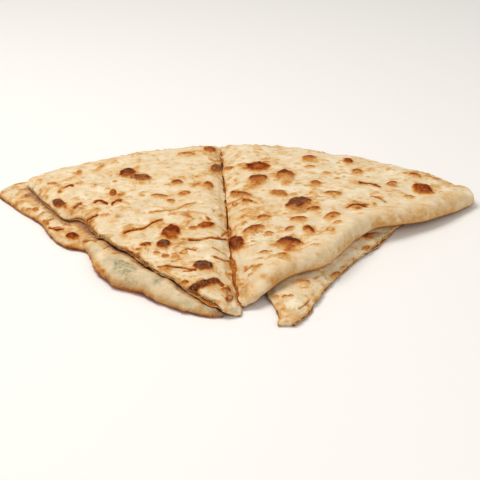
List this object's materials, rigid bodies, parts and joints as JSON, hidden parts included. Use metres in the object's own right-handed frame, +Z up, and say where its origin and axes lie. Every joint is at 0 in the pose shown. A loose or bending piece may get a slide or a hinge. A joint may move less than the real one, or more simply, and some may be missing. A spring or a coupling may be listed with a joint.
{
  "type": "cheese gozleme",
  "caption": "Half-moon of thin griddled flatbread filled with cheese and herbs, cut into wedges that are stacked as one fan, tips together.",
  "frame": {"origin": "under the middle of the whole fan, on the surface it lies on", "axes": "+Z up, +X to the right along the fan's width, +Y from the wedges' tips towards the round sealed rim"},
  "size_m": [0.313, 0.271, 0.0198],
  "materials": {
    "baked_dough": "dry baked dough, cream, with toasted brown blisters",
    "cheese_herb_filling": "moist crumbly white cheese with chopped green herbs"
  },
  "bodies": {
    "root": {"slice_upper_right_dough": "baked_dough", "slice_upper_right_filling": "cheese_herb_filling", "slice_upper_left_dough": "baked_dough", "slice_upper_left_filling": "cheese_herb_filling", "slice_lower_left_dough": "baked_dough", "slice_lower_left_filling": "cheese_herb_filling", "slice_lower_right_dough": "baked_dough", "slice_lower_right_filling": "cheese_herb_filling"}
  },
  "joints": []
}
